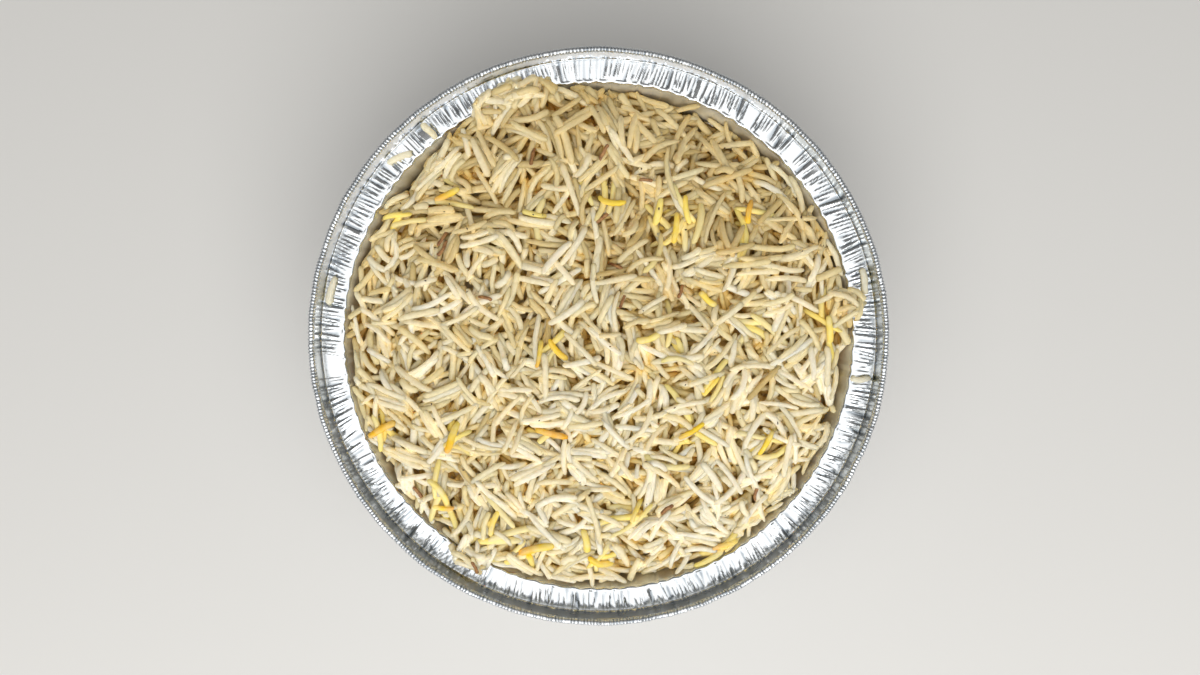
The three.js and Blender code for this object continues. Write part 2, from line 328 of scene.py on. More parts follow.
# grains are dropped one by one on a map of heights
grains = {
    "cell": 0.4,  # the map's cell
    "press": 1.05,  # soft grains press this far into each other
    "length": (12.6, 2.6),  # mean and spread
    "lengthLimits": (4.5, 18.5),
    "brokenShare": 0.24,
    "deepBrokenShare": 0.7,  # far down, where little shows
    "brokenLength": (4.5, 9),
    "width": (1.9, 0.22),
    "widthLimits": (1.4, 2.45),
    "bow": 0.085,  # of the length
    "bowLimit": 3.2,
    "thickness": 0.84,  # of the width
    "most": 4400,
    "looks": 10,  # places looked at before each drop, of which the lowest is taken
    "turns": 7,  # ways of lying tried there
    "steepest": 0.55,
    "combedShare": 0.4,  # of the grains lie nearly the combed way
    "combedSpread": 0.5,
    "looseSpread": 3.0,
    "misses": 500,
    "widest": 87,  # radius within which grains are dropped
    "leastRoom": 0.9,  # below the heap's top
    "onTop": 760,  # laid across the others at the end, in sheaves
    "tightShare": 0.4,  # of the sheaves
    "tightGap": 1.3,  # between the grains of a tight sheaf
    "looseGap": 2.6,
    "highest": 1.3,  # a grain of a sheaf above the heap's top
    "onTopWidest": 76,
}

mapHalf = 92.4
cell = grains["cell"]
cells = int(2 * mapHalf / cell)
ticks = (np.arange(cells) + 0.5) * cell - mapHalf
gridX, gridY = np.meshgrid(ticks, ticks, indexing="ij")
spine = np.linspace(-0.94, 0.94, 11)
sags = np.array([-0.25, 0.0, 0.3, 0.6, 0.95])  # how far the ends may droop


def girth(u):
    return np.sqrt(np.clip(1 - np.abs(u) ** 4, 0, 1))


def panHeight(radius):
    wall = (radius - pan["baseRadius"] + 0.5) / (pan["mouthRadius"] - pan["baseRadius"])
    height = np.clip(wall, 0, 1) * pan["ledgeHeight"] + 0.2
    return np.where(radius > pan["lipRadius"] - 0.4, pan["rimHeight"] + 0.3, height)


def emptyMap():
    radius = np.hypot(gridX, gridY)
    core = np.where(radius < pan["mouthRadius"] - 0.8, grainTop(gridX, gridY) - heap["coreDepth"], 0)
    return np.maximum(panHeight(radius), core)


def toCell(value):
    return np.clip(((value + mapHalf) / cell).astype(int), 0, cells - 1)


# the degrees between two directions, 0 to 180
def degreesFrom(degrees, direction):
    return np.abs((degrees - direction + 180) % 360 - 180)


def mayReach(x, y):
    radius = np.hypot(x, y)
    degrees = np.degrees(np.arctan2(y, x)) % 360
    limit = np.full(radius.shape, pan["mouthRadius"] - 0.7)
    for direction, half, reach in heap["spills"]:
        away = degreesFrom(degrees, direction)
        limit = np.where(away < half, np.maximum(limit, reach - 1.5 * (away / half) ** 2), limit)
    return radius < limit


# rests one grain on the map at several places and turns, and keeps the snuggest
def settle(heights, size, x, y, yaw, anywhere=False):
    length, width, bow = size
    along = spine * length / 2
    side = bow * (spine ** 2 - 0.33)
    cosine, sine = np.cos(yaw)[:, None], np.sin(yaw)[:, None]
    px = x[:, None] + cosine * along - sine * side
    py = y[:, None] + sine * along + cosine * side
    need = np.full(px.shape, -1e3)
    for across in (-0.34, 0.0, 0.34):
        qx, qy = px - sine * across * width, py + cosine * across * width
        need = np.maximum(need, heights[toCell(qx), toCell(qy)])
    thick = girth(spine) * width * grains["thickness"] / 2
    need = need + thick - grains["press"] * min(width, 2.0) / 2
    lowest = need[:, None, :] + sags[None, :, None] * spine ** 2
    left, right = lowest[..., :5, None], lowest[..., None, 6:]
    uLeft, uRight = spine[:5, None], spine[None, 6:]
    chord = (left * uRight - right * uLeft) / (uRight - uLeft)
    tilt = (right - left) / (uRight - uLeft)
    flat = chord.reshape(*chord.shape[:2], -1)
    best = flat.argmax(-1)[..., None]
    rest = np.take_along_axis(flat, best, -1)[..., 0]
    slope = np.take_along_axis(tilt.reshape(flat.shape), best, -1)[..., 0]
    middle = lowest[..., 5]
    atLeast = ((lowest[..., 6:] - middle[..., None]) / spine[6:]).max(-1)
    atMost = ((lowest[..., :5] - middle[..., None]) / spine[:5]).min(-1)
    slope = np.where(middle > rest, (atLeast + atMost) / 2, slope)
    rest = np.maximum(rest, middle)
    spineZ = rest[..., None] + slope[..., None] * spine - sags[None, :, None] * spine ** 2
    openUnder = (spineZ - need[:, None, :]).mean(-1)
    sagPick = openUnder.argmin(-1)
    rows = np.arange(len(x))
    openUnder, slope, rest = (values[rows, sagPick] for values in (openUnder, slope, rest))
    steep = np.maximum(np.abs(slope) / (length / 2) - grains["steepest"], 0)
    score = openUnder * 1.3 + spineZ[rows, sagPick].mean(-1) * 0.55 + steep * 3
    if not anywhere:
        score = score + np.where(mayReach(px, py).all(-1), 0, 100)
    pick = score.argmin()
    return {
        "x": x[pick], "y": y[pick], "yaw": yaw[pick], "length": length, "width": width, "bow": bow,
        "rest": rest[pick], "slope": slope[pick], "sag": sags[sagPick[pick]], "score": score[pick],
    }


# raises the map by a grain that has come to rest, and notes which grain is on top
def press(heights, owner, grain, number):
    reach = grain["length"] / 2 + 1
    lowX, highX = toCell(np.array([grain["x"] - reach, grain["x"] + reach]))
    lowY, highY = toCell(np.array([grain["y"] - reach, grain["y"] + reach]))
    window = (slice(lowX, highX + 1), slice(lowY, highY + 1))
    dx, dy = gridX[window] - grain["x"], gridY[window] - grain["y"]
    cosine, sine = math.cos(grain["yaw"]), math.sin(grain["yaw"])
    u = (dx * cosine + dy * sine) / (grain["length"] / 2)
    v = -dx * sine + dy * cosine - grain["bow"] * (u * u - 0.33)
    halfWidth = girth(u) * grain["width"] / 2
    inside = (np.abs(u) < 1) & (np.abs(v) < halfWidth)
    dome = np.sqrt(np.clip(1 - (v / np.maximum(halfWidth, 0.05)) ** 2, 0, 1))
    top = grain["rest"] + grain["slope"] * u - grain["sag"] * u * u
    top = top + dome * halfWidth * grains["thickness"]
    raised = inside & (top > heights[window])
    heights[window] = np.where(raised, top, heights[window])
    owner[window] = np.where(raised, number, owner[window])


def grainSize(random, deep):
    length = random.normal(*grains["length"])
    if random.random() < grains["deepBrokenShare" if deep else "brokenShare"]:
        length = random.uniform(*grains["brokenLength"])
    length = float(np.clip(length, *grains["lengthLimits"]))
    width = float(np.clip(random.normal(*grains["width"]), *grains["widthLimits"]))
    bow = random.normal(0, grains["bow"]) * length
    return length, width, float(np.clip(bow, -grains["bowLimit"], grains["bowLimit"]))


def dropGrains(heights, owner, random):
    target = grainTop(gridX, gridY)
    dropped = []
    misses = 0
    while len(dropped) < grains["most"] and misses < grains["misses"]:
        radius = grains["widest"] * np.sqrt(random.random(grains["looks"]))
        angle = random.random(grains["looks"]) * fullTurn
        lookX, lookY = radius * np.cos(angle), radius * np.sin(angle)
        at = toCell(lookX), toCell(lookY)
        lack = target[at] - heights[at] - np.where(mayReach(lookX, lookY), 0, 100)
        pick = lack.argmax()
        if lack[pick] < grains["leastRoom"]:
            misses += 1
            continue
        size = grainSize(random, misses > 40)
        turns = grains["turns"]
        x = lookX[pick] + random.normal(0, 0.9, turns)
        y = lookY[pick] + random.normal(0, 0.9, turns)
        spread = grains["combedSpread" if random.random() < grains["combedShare"] else "looseSpread"]
        yaw = combedWay(x, y) + random.normal(0, spread, turns)
        grain = settle(heights, size, x, y, yaw)
        if grain["score"] > 90 or grain["rest"] + size[1] * 0.43 > target[at][pick] + 1.0:
            misses += 1
            continue
        misses = 0
        grain["depth"] = target[at][pick] - grain["rest"]
        press(heights, owner, grain, len(dropped))
        dropped.append(grain)
    return dropped


# the last grains lie across the others, in small sheaves
def strewGrains(heights, owner, random, first):
    strewn = []
    while len(strewn) < grains["onTop"]:
        radius = grains["onTopWidest"] * math.sqrt(random.random())
        angle = random.random() * fullTurn
        sheafX, sheafY = radius * math.cos(angle), radius * math.sin(angle)
        sheafWay = random.random() * fullTurn
        tight = random.random() < grains["tightShare"]
        bow = random.normal(0, grains["bow"]) * 9
        for number in range(random.integers(2, 6) if tight else random.integers(1, 4)):
            size = grainSize(random, False)
            if tight:
                size = (size[0], size[1], bow)
            aside = random.normal(0, 0.2 if tight else grains["looseGap"], 3)
            if tight:
                aside = number * grains["tightGap"] + aside
            ahead = random.normal(0, 1.2 if tight else grains["looseGap"], 3)
            x = sheafX + ahead * math.cos(sheafWay) - aside * math.sin(sheafWay)
            y = sheafY + ahead * math.sin(sheafWay) + aside * math.cos(sheafWay)
            yaw = sheafWay + random.normal(0, 0.07 if tight else 0.35, 3)
            grain = settle(heights, size, x, y, yaw)
            high = grain["rest"] - float(grainTop(grain["x"], grain["y"]))
            if grain["score"] > 90 or high > grains["highest"]:
                continue
            grain["depth"] = -high
            press(heights, owner, grain, first + len(strewn))
            strewn.append(grain)
    return strewn


# grains that stand out on top, laid after the rest: x, y, turn in degrees, length, bow
longGrains = [
    (24, 49, -74, 20, 2.4), (27, 44, -62, 14, 1.0), (57, 47, -38, 17, -2.2), (62, 42, -60, 15, -1.8),
    (52, 27, 4, 16, 0.8), (58, 24, -8, 17, 0.9), (50, 22, 10, 14, -0.6), (64, 29, 14, 13, 0.5),
    (-53, 13, 20, 15, 0.8), (-50, 10, 26, 14, 0.6), (-57, 9, 12, 14, -0.5),
    (-8, 30, 58, 15, 0.6), (-13, 27, 48, 14, -0.7), (2, 52, 32, 15, 0.7),
    (46, -38, -62, 15, 1.2), (50, -42, -70, 14, 0.9), (43, -43, -50, 14, -0.6),
    (54, 30, 2, 18, 1.2), (47, 25, 8, 15, 0.5), (60, 20.5, -4, 14, -0.8), (44, 29.5, 14, 13, 0.6),
    (22, 53, -80, 17, 1.8), (59, 52, -48, 14, -1.6), (64, 47, -66, 13, -1.2), (-44, 8, 22, 15, 0.9),
    (-10, 9, 36, 14, 0.8), (-30, 62, -35, 14, -0.9), (-22, 66, -28, 13, 0.7), (12, -22, 30, 14, 0.9),
    (-35, -50, -40, 15, 1.1), (20, -60, 60, 13, -0.7), (38, -57, -50, 15, 1.2), (33, -48, -42, 14, 0.8),
]
# grains dyed with saffron on top: x, y, turn in degrees, length, dye
saffronGrains = [
    (-47.4, -30.7, 75, 11, 0.75), (-15, -30.1, -15, 11, 1.0), (-18.6, -3.5, 82, 9, 0.75),
    (-13, -3, -42, 9, 0.8), (-70.5, -28.5, 30, 10, 0.9), (-48, 47.7, 20, 9, 0.85),
    (28.2, 42.4, 100, 9, 0.5), (24.5, 36.4, 85, 10, 0.6), (48.3, 41.4, 84, 8, 0.95),
    (4.4, 44.5, -8, 9, 0.65), (35, 13.8, -45, 7, 0.6), (19.4, 42, 70, 9, 0.4),
    (-50.2, -55.2, -5, 7, 0.75), (-20, -68, 8, 12, 0.8), (-33.6, -59, 80, 9, 0.5),
    (-51.5, -49, -55, 11, 0.35), (30, -28, 35, 10, 0.8), (54, -33, 60, 9, 0.7), (42, -67, 15, 9, 0.8),
    (1, -73, -20, 9, 0.7), (74.5, 4, 95, 9, 0.5), (-64, 41, 5, 10, 0.45), (36, -14, 50, 8, 0.55),
    (12, -55, 65, 8, 0.5), (-4, -65, 100, 8, 0.5), (16, 1, 12, 8, 0.45),
]


# more grains where the rice runs out over the ledge
def spillOver(heights, owner, first, random):
    spilt = []
    for direction, half, reach in heap["spills"]:
        for _ in range(int(half * 5)):
            radius = random.uniform(79, reach - 2) + np.zeros(3)
            angle = np.radians(direction + random.normal(0, half / 2.2, 3))
            size = (random.uniform(6, 11), random.normal(*grains["width"]), random.normal(0, 0.6))
            yaw = random.random(3) * fullTurn
            grain = settle(heights, size, radius * np.cos(angle), radius * np.sin(angle), yaw)
            if grain["score"] < 90 and grain["rest"] < pan["rimHeight"] - 1.6:
                press(heights, owner, grain, first + len(spilt))
                spilt.append(grain)
    return spilt


def layGrains(heights, owner, wanted, first, random):
    laid = []
    for x, y, degrees, length, bow in wanted:
        width = random.normal(*grains["width"]) * 1.04
        yaw = np.radians(degrees + random.normal(0, 2.5, 3))
        grain = settle(heights, (length, width, bow), np.full(3, x) + random.normal(0, 0.3, 3),
                       np.full(3, y) + random.normal(0, 0.3, 3), yaw, anywhere=True)
        grain["pale"] = 0.5
        press(heights, owner, grain, first + len(laid))
        laid.append(grain)
    return laid


# rings of points round each grain's curved spine, closed by a point at each end
ringShares = np.array([-0.97, -0.84, -0.5, 0.0, 0.5, 0.84, 0.97])
ringSides = 8


def grainMesh(laid, random, ribs=0.0):
    count, rings = len(laid), len(ringShares)
    keys = ("x", "y", "yaw", "length", "width", "bow", "rest", "slope", "sag")
    value = {key: np.array([grain[key] for grain in laid])[:, None] for key in keys}
    u = np.concatenate([[-1.0], ringShares, [1.0]])[None, :]
    wobble = random.normal(0, 0.09, (count, 1)) * np.sin(u * 4.5 + random.random((count, 1)) * 6)
    along = u * value["length"] / 2
    side = value["bow"] * (u * u - 0.33) + wobble
    cosine, sine = np.cos(value["yaw"]), np.sin(value["yaw"])
    centre = np.stack([
        value["x"] + cosine * along - sine * side,
        value["y"] + sine * along + cosine * side,
        value["rest"] + value["slope"] * u - value["sag"] * u * u,
    ], -1)
    forward = np.gradient(centre, axis=1)
    forward /= np.linalg.norm(forward, axis=-1, keepdims=True)
    across = np.cross([0, 0, 1.0], forward)
    across /= np.linalg.norm(across, axis=-1, keepdims=True)
    upward = np.cross(forward, across)
    bluntness = random.uniform(4.5, 14.0, (count, 2))
    cutEnds = (value["length"][:, 0] < 9) & (random.random(count) < 0.8)
    bluntness[cutEnds, 0] = 30
    power = np.where(u < 0, bluntness[:, :1], bluntness[:, 1:])
    taper = 1 + random.normal(0, 0.07, (count, 1)) * u
    half = value["width"] / 2 * taper * np.sqrt(1 - np.abs(u) ** power)
    half = half * (1 + random.normal(0, 0.035, half.shape))
    roll = random.uniform(-0.4, 0.4, (count, 1, 1)) + u[..., None] * random.normal(0, 0.3, (count, 1, 1))
    turn = np.arange(ringSides) * fullTurn / ringSides + roll
    ribbed = 1 + ribs * (np.arange(ringSides) % 2)
    flat = half[..., None] * ribbed * np.sign(np.cos(turn)) * np.abs(np.cos(turn)) ** 0.9
    high = half[..., None] * ribbed * grains["thickness"] * np.sin(turn)
    ringPoints = centre[:, :, None] + across[:, :, None] * flat[..., None]
    ringPoints = ringPoints + upward[:, :, None] * high[..., None]
    points = np.concatenate([
        centre[:, :1], ringPoints[:, 1:-1].reshape(count, -1, 3), centre[:, -1:],
    ], 1)
    shares = np.concatenate([[-1.0], np.repeat(ringShares, ringSides), [1.0]])
    ring = np.arange(ringSides)
    after = (ring + 1) % ringSides
    quads = [
        np.stack([low + ring, low + ringSides + ring, low + ringSides + after, low + after], -1)
        for low in 1 + np.arange(rings - 1) * ringSides
    ]
    last = rings * ringSides + 1
    start = np.stack([np.zeros(ringSides, int), 1 + ring, 1 + after], -1)
    end = np.stack([np.full(ringSides, last), last - ringSides + after, last - ringSides + ring], -1)
    offsets = (np.arange(count) * (last + 1))[:, None, None]
    quads = (np.concatenate(quads)[None] + offsets).reshape(-1, 4)
    caps = (np.concatenate([start, end])[None] + offsets).reshape(-1, 3)
    ends = np.zeros((count, 1))
    upper = np.concatenate([ends, np.sin(turn)[:, 1:-1].reshape(count, -1), ends], 1)
    return points.reshape(-1, 3), quads, caps, np.tile(shares, count), upper.reshape(-1), last + 1


def grainPiece(name, laid, material, nodes, random, ribs=0.0):
    points, quads, caps, shares, upper, perGrain = grainMesh(laid, random, ribs)
    piece = arrayPiece(name, points, quads, caps)
    pointValues(piece, "along", shares)
    depth = np.array([grain.get("depth", 0.5) for grain in laid])
    where = [np.array([grain[axis] for grain in laid]) for axis in ("x", "y")]
    # painted shade: deeper grains get a lower, browner tint, and the value added by place is painted
    # light and shade; the random part is real tone
    tint = 0.58 - 0.14 * depth + random.normal(0, 0.22, len(laid)) + paintedLightAndShade(*where)
    tint = tint + np.array([grain.get("pale", 0.0) for grain in laid])
    pointValues(piece, "tint", np.repeat(np.clip(tint, 0, 1), perGrain))
    # painted shade: points further below the heap's top, and the sides and undersides of each grain, get
    # a higher below value, which browns them
    below = (grainTop(points[:, 0], points[:, 1]) - points[:, 2] - 0.9) / 2.5
    pointValues(piece, "below", np.clip(np.maximum(below, 0) + 0.2 * np.maximum(0.3 - upper, 0), 0, 1))
    dye = np.array([grain.get("dye", 0.0) for grain in laid])
    oneEnd = np.repeat(random.normal(0, 1, len(laid)), perGrain)
    pointValues(piece, "dye", np.clip(np.repeat(dye, perGrain) * (1 + 0.25 * shares * oneEnd), 0, 1))
    piece.data.materials.append(material)
    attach(piece, "root")
    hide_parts(*nodes)
    return piece


def riceMaterial(name, stops, seeThrough):
    material, tree, shader = newMaterial(name)
    place = tree.nodes.new("ShaderNodeTexCoord").outputs["Object"]
    body = ramp(tree, pointValue(tree, "tint"), stops)
    mottle = fromTo(tree, noise(tree, place, 700, 4), 0.3, 0.7)
    body = mixColours(tree, mottle, tinted(tree, body, (0.9, 0.87, 0.8)), body)
    ends = calculate(tree, "ABSOLUTE", pointValue(tree, "along"))
    ends = fromTo(tree, ends, 0.55, 1.0, 0.0, 0.45)
    body = mixColours(tree, ends, body, tinted(tree, body, (0.93, 0.88, 0.72)))
    dyed = ramp(tree, pointValue(tree, "dye"), [
        (0.0, (0.95, 0.84, 0.45)), (0.4, (0.97, 0.79, 0.2)),
        (0.75, (0.98, 0.69, 0.04)), (1.0, (0.94, 0.46, 0.01)),
    ])
    amount = fromTo(tree, pointValue(tree, "dye"), 0.0, 0.3)
    uneven = fromTo(tree, noise(tree, place, 260, 2), 0.3, 0.6, 0.55, 1.0)
    body = mixColours(tree, calculate(tree, "MULTIPLY", amount, uneven), body, dyed)
    # painted shade: the below value browns the grains' deep parts, sides and undersides
    shade = ramp(tree, pointValue(tree, "below"), [
        (0.0, (1.0, 1.0, 1.0)), (0.3, (0.98, 0.91, 0.69)),
        (0.6, (0.9, 0.74, 0.4)), (1.0, (0.7, 0.47, 0.16)),
    ])
    tree.links.new(tinted(tree, body, shade), shader.inputs["Base Color"])
    gloss = fromTo(tree, noise(tree, place, 420, 3), 0.35, 0.65, 0.24, 0.6)
    tree.links.new(gloss, shader.inputs["Roughness"])
    shader.inputs["Subsurface Weight"].default_value = seeThrough
    shader.subsurface_method = "BURLEY"
    shader.inputs["Subsurface Radius"].default_value = (1.0, 0.8, 0.5)
    shader.inputs["Subsurface Scale"].default_value = 0.0034
    shader.inputs["Specular IOR Level"].default_value = 0.35
    fine = noise(tree, place, 1500, 3, 0.6)
    bump(tree, shader, fine, 0.25, 0.00012)
    return material


# where the saffron has run: x, y, how strong, and how far
saffron = [
    (-48, 48, 0.4, 3), (-64, 41, 0.4, 3), (-18, 41, 0.4, 2), (2, 45, 0.4, 3), (20, 41, 0.35, 4),
    (26, 38, 0.4, 4), (23, 34, 0.35, 3), (31, 41, 0.3, 3), (48, 40, 0.6, 3), (-16, -3, 0.4, 3),
    (24, -1, 0.4, 2), (36, -14, 0.4, 3), (48, 6, 0.4, 2), (74, 8, 0.45, 3), (75, -4, 0.45, 3),
    (-47, -31, 0.5, 3), (-15, -30, 0.5, 3), (30, -28, 0.5, 3), (23, -36, 0.45, 3), (54, -33, 0.5, 3),
    (12, -55, 0.45, 3), (-51, -52, 0.45, 4), (-23, -68, 0.5, 4), (1, -73, 0.5, 3), (-71, -29, 0.5, 3),
    (42, -67, 0.5, 3), (-33, -58, 0.35, 4),
]


def dyeGrains(laid, owner, random):
    for x, y, strength, run in saffron:
        for away in range(5):
            at = toCell(np.array([x + random.normal(0, run * 0.7), y + random.normal(0, run * 0.7)]))
            number = owner[at[0], at[1]]
            if number >= 0:
                dye = strength * random.uniform(0.75, 1.1) * (1 if away == 0 else 0.6)
                laid[number]["dye"] = max(laid[number].get("dye", 0), dye)


random = np.random.default_rng(5)
heights = emptyMap()
owner = np.full(heights.shape, -1)
laid = dropGrains(heights, owner, random)
laid += strewGrains(heights, owner, random, len(laid))
laid += spillOver(heights, owner, len(laid), random)
laid += layGrains(heights, owner, longGrains, len(laid), random)
dyeGrains(laid, owner, random)
onTop = [(x, y, turn, length, random.normal(0, 0.7)) for x, y, turn, length, dye in saffronGrains]
onTop = layGrains(heights, owner, onTop, len(laid), random)
for grain, (x, y, turn, length, dye) in zip(onTop, saffronGrains):
    grain["dye"] = dye
laid += onTop
print("grains laid:", len(laid))

whiteStops = [(0.0, (0.78, 0.65, 0.36)), (0.5, (0.89, 0.81, 0.58)), (1.0, (0.92, 0.88, 0.73))]
ivoryStops = [(0.0, (0.72, 0.57, 0.28)), (0.5, (0.87, 0.76, 0.46)), (1.0, (0.91, 0.83, 0.6))]
creamStops = [(0.0, (0.65, 0.49, 0.21)), (0.5, (0.84, 0.71, 0.39)), (1.0, (0.9, 0.8, 0.53))]
kinds = {  # share, colours, how see-through
    "rice_white": (0.33, whiteStops, 0.9),
    "rice_ivory": (0.34, ivoryStops, 1.0),
    "rice_cream": (0.33, creamStops, 1.0),
}
shares = np.array([share for share, stops, seeThrough in kinds.values()])
# kinds are given partly at random and partly by depth: deeper grains more often get the darker kinds,
# which is painted shade
whitenessWithDepthShade = random.random(len(laid)) - 0.07 * np.array([grain.get("depth", 0) for grain in laid])
picked = np.searchsorted(np.cumsum(shares[::-1]), whitenessWithDepthShade.argsort().argsort() / len(laid))
picked = len(kinds) - 1 - np.minimum(picked, len(kinds) - 1)
for kind, (name, (share, stops, seeThrough)) in enumerate(kinds.items()):
    chosen = [grain for grain, which in zip(laid, picked) if which == kind and not grain.get("dye")]
    grainPiece(name, chosen, riceMaterial(name, stops, seeThrough), ["rice_heap"], random)
dyedGrains = [grain for grain in laid if grain.get("dye")]
saffronLook = riceMaterial("rice_saffron", ivoryStops, 0.55)
grainPiece("rice_saffron", dyedGrains, saffronLook, ["rice_heap"], random)
print("rice made")

# loose grains on the ledge: direction, radius of the middle, turn from the radius, length, width
strays = [
    (128.5, 85.6, 8, 6.6, 2.2), (137, 86, 66, 8.5, 2.1), (169, 87.2, 86, 9.5, 2.3),
    (13, 87.2, 84, 8.5, 2.1), (352, 85.6, 10, 6.4, 2.0),
]
strayLaid = []
for degrees, radius, turn, length, width in strays:
    angle = math.radians(degrees)
    strayLaid.append({
        "x": radius * math.cos(angle), "y": radius * math.sin(angle), "yaw": angle + math.radians(turn),
        "length": length, "width": width, "bow": 0.5, "rest": pan["ledgeHeight"] + width * 0.43,
        "slope": 0.0, "sag": 0.1, "depth": 0.0, "pale": 0.6,
    })
strayNodes = ["stray_grain_%d" % (number + 1) for number in range(len(strays))]
strayLook = riceMaterial("rice_stray", whiteStops, 0.8)
grainPiece("stray_grains", strayLaid, strayLook, strayNodes, random)


# cumin seeds and dark specks of spice among the grains
seeds = {
    "places": [
        (-21, 58), (2, 60), (13, 53), (1, 38), (-49, 30), (-49, 34), (-35, 14), (6, 24), (27, 18),
        (7, 12), (22, -54), (-39, -74), (52, -48), (-58, -50),
    ],
    "length": (4.2, 5.8),
    "width": (0.95, 1.25),
    "specks": 90,
    "speckSize": (0.16, 0.4),
    "speckWidest": 79,  # radius within which they lie
}


def spiceMaterial(name, dark, light, rough):
    material, tree, shader = newMaterial(name)
    place = tree.nodes.new("ShaderNodeTexCoord").outputs["Object"]
    patches = noise(tree, place, 900, 4)
    body = ramp(tree, patches, [(0.3, dark), (0.7, light)])
    tree.links.new(body, shader.inputs["Base Color"])
    shader.inputs["Roughness"].default_value = rough
    bump(tree, shader, noise(tree, place, 2200, 3), 0.4, 0.0001)
    return material


seedLaid = []
for x, y in seeds["places"]:
    size = (random.uniform(*seeds["length"]), random.uniform(*seeds["width"]), random.normal(0, 0.3))
    seed = settle(heights, size, x + random.normal(0, 0.7, 6), y + random.normal(0, 0.7, 6),
                  random.random(6) * fullTurn, anywhere=True)
    press(heights, owner, seed, 0)
    seedLaid.append(seed)
cuminLook = spiceMaterial("cumin_brown", (0.16, 0.055, 0.015), (0.5, 0.26, 0.09), 0.5)
grainPiece("cumin_seeds", seedLaid, cuminLook, ["rice_heap"], random, ribs=0.22)


def speckPiece(name, count, material):
    angle = random.random(count) * fullTurn
    radius = seeds["speckWidest"] * np.sqrt(random.random(count))
    x, y = radius * np.cos(angle), radius * np.sin(angle)
    z = heights[toCell(x), toCell(y)]
    size = random.uniform(*seeds["speckSize"], count)
    ring = np.arange(6) * fullTurn / 6
    turn = ring[None] + random.random((count, 1)) * 6
    reach = size[:, None] * random.uniform(0.6, 1.3, (count, 6)) * (1 + 0.5 * np.cos(ring * 2))
    rim = np.stack([reach * np.cos(turn), reach * np.sin(turn), random.normal(0, 0.05, (count, 6))], -1)
    high = np.stack([np.zeros(count), np.zeros(count), size * 0.5], -1)[:, None]
    points = np.concatenate([high, rim, -high], 1) + np.stack([x, y, z + 0.05], -1)[:, None]
    upper = np.stack([np.zeros(6, int), 1 + np.arange(6), 1 + (np.arange(6) + 1) % 6], -1)
    lower = np.stack([np.full(6, 7), 1 + (np.arange(6) + 1) % 6, 1 + np.arange(6)], -1)
    faces = np.concatenate([upper, lower])[None] + (np.arange(count) * 8)[:, None, None]
    piece = arrayPiece(name, points.reshape(-1, 3), faces.reshape(-1, 3))
    piece.data.materials.append(material)
    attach(piece, "root")
    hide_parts("rice_heap")


speckLook = spiceMaterial("spice_dark", (0.02, 0.012, 0.008), (0.12, 0.06, 0.025), 0.6)
speckPiece("spice_specks", seeds["specks"], speckLook)
print("seeds and specks made")

# the rice below the grains, which fills the pan
core = {"floor": 0.9, "gap": 0.35, "depth": 4.4, "steps": 144, "rings": 34, "uneven": 0.5}
coreEdge = wallRadius(38) - core["gap"]
coreSection = [(0, core["floor"]), (40, core["floor"]), (pan["baseRadius"] - 3, core["floor"])]
coreSection += [(wallRadius(z) - core["gap"], z) for z in (4.5, 12, 20, 28, 34)]
coreSection += [(coreEdge * share, 38.0) for share in np.linspace(1, 0, core["rings"])]
coreRice = turned("rice_core", coreSection, core["steps"])
corePoints = readPoints(coreRice)
topFace = corePoints[:, 2] > 37.9
x, y = corePoints[:, 0], corePoints[:, 1]
waves = sum(np.sin(x * a + y * b + c) for a, b, c in ((0.9, 0.4, 1), (-0.5, 0.8, 2), (0.3, -1.1, 4))) / 3
topHeight = grainTop(x, y) - core["depth"] + core["uneven"] * waves
topHeight = np.minimum(topHeight, 40.5)
corePoints[:, 2] = np.where(topFace, topHeight, corePoints[:, 2])
writePoints(coreRice, corePoints)
# the core's darker brown is painted shade of the rice seen deep in the gaps
coreLook, tree, shader = newMaterial("rice_deep")
place = tree.nodes.new("ShaderNodeTexCoord").outputs["Object"]
tree.links.new(ramp(tree, noise(tree, place, 320, 4), [
    (0.3, (0.5, 0.35, 0.14)), (0.7, (0.72, 0.58, 0.32)),
]), shader.inputs["Base Color"])
shader.inputs["Roughness"].default_value = 0.6
bump(tree, shader, noise(tree, place, 450, 3), 0.8, 0.001)
coreRice.data.materials.append(coreLook)
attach(coreRice, "root")
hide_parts("rice_heap")
print("core made")

# the foil: rim with ledge, lip and rolled hem, over a fluted tub
foil = {
    "rimColumns": 2400,
    "tubColumns": 1200,
    "rimFoot": 36.0,  # height where the rim's part of the wall meets the tub's
    "footFoil": 0.12,  # the two parts thin out there, so that no step shows
    "foldGap": 0.43,  # degrees between the ledge's fold lines
    "foldSlope": 0.27,
    "foldDepth": 0.32,
    # where the folds are flatter: direction, half width in degrees and the share left
    "flattened": [(44.5, 1.6, 0.08), (56, 1.2, 0.1), (185, 2.2, 0.15), (92, 17, 0.85)],
    "ledgeRise": 0.4,  # towards the lip
    "crinkles": 560,  # round the lip
    "crinkleDepth": 0.3,
    "crinkled": (112, 58),  # direction and half width of the lip's crumpled part
    "hemRadius": 1.0,
    "hemTeeth": 540,
    "toothDepth": 0.4,
    "flutes": 103,
    "fluteDepth": 0.36,
}


def arc(centreRadius, centreHeight, radius, start, end, steps):
    angles = np.radians(np.linspace(start, end, steps))
    return [(centreRadius + radius * math.cos(a), centreHeight + radius * math.sin(a)) for a in angles]


# how far a value has come from low to high, 0 to 1
def between(value, low, high):
    return np.clip((value - low) / (high - low), 0, 1)


def foilNormals(line):
    line = np.array(line)
    forward = np.gradient(line, axis=0)
    forward /= np.linalg.norm(forward, axis=1, keepdims=True)
    return np.stack([-forward[:, 1], forward[:, 0]], -1)


foilRandom = np.random.default_rng(11)


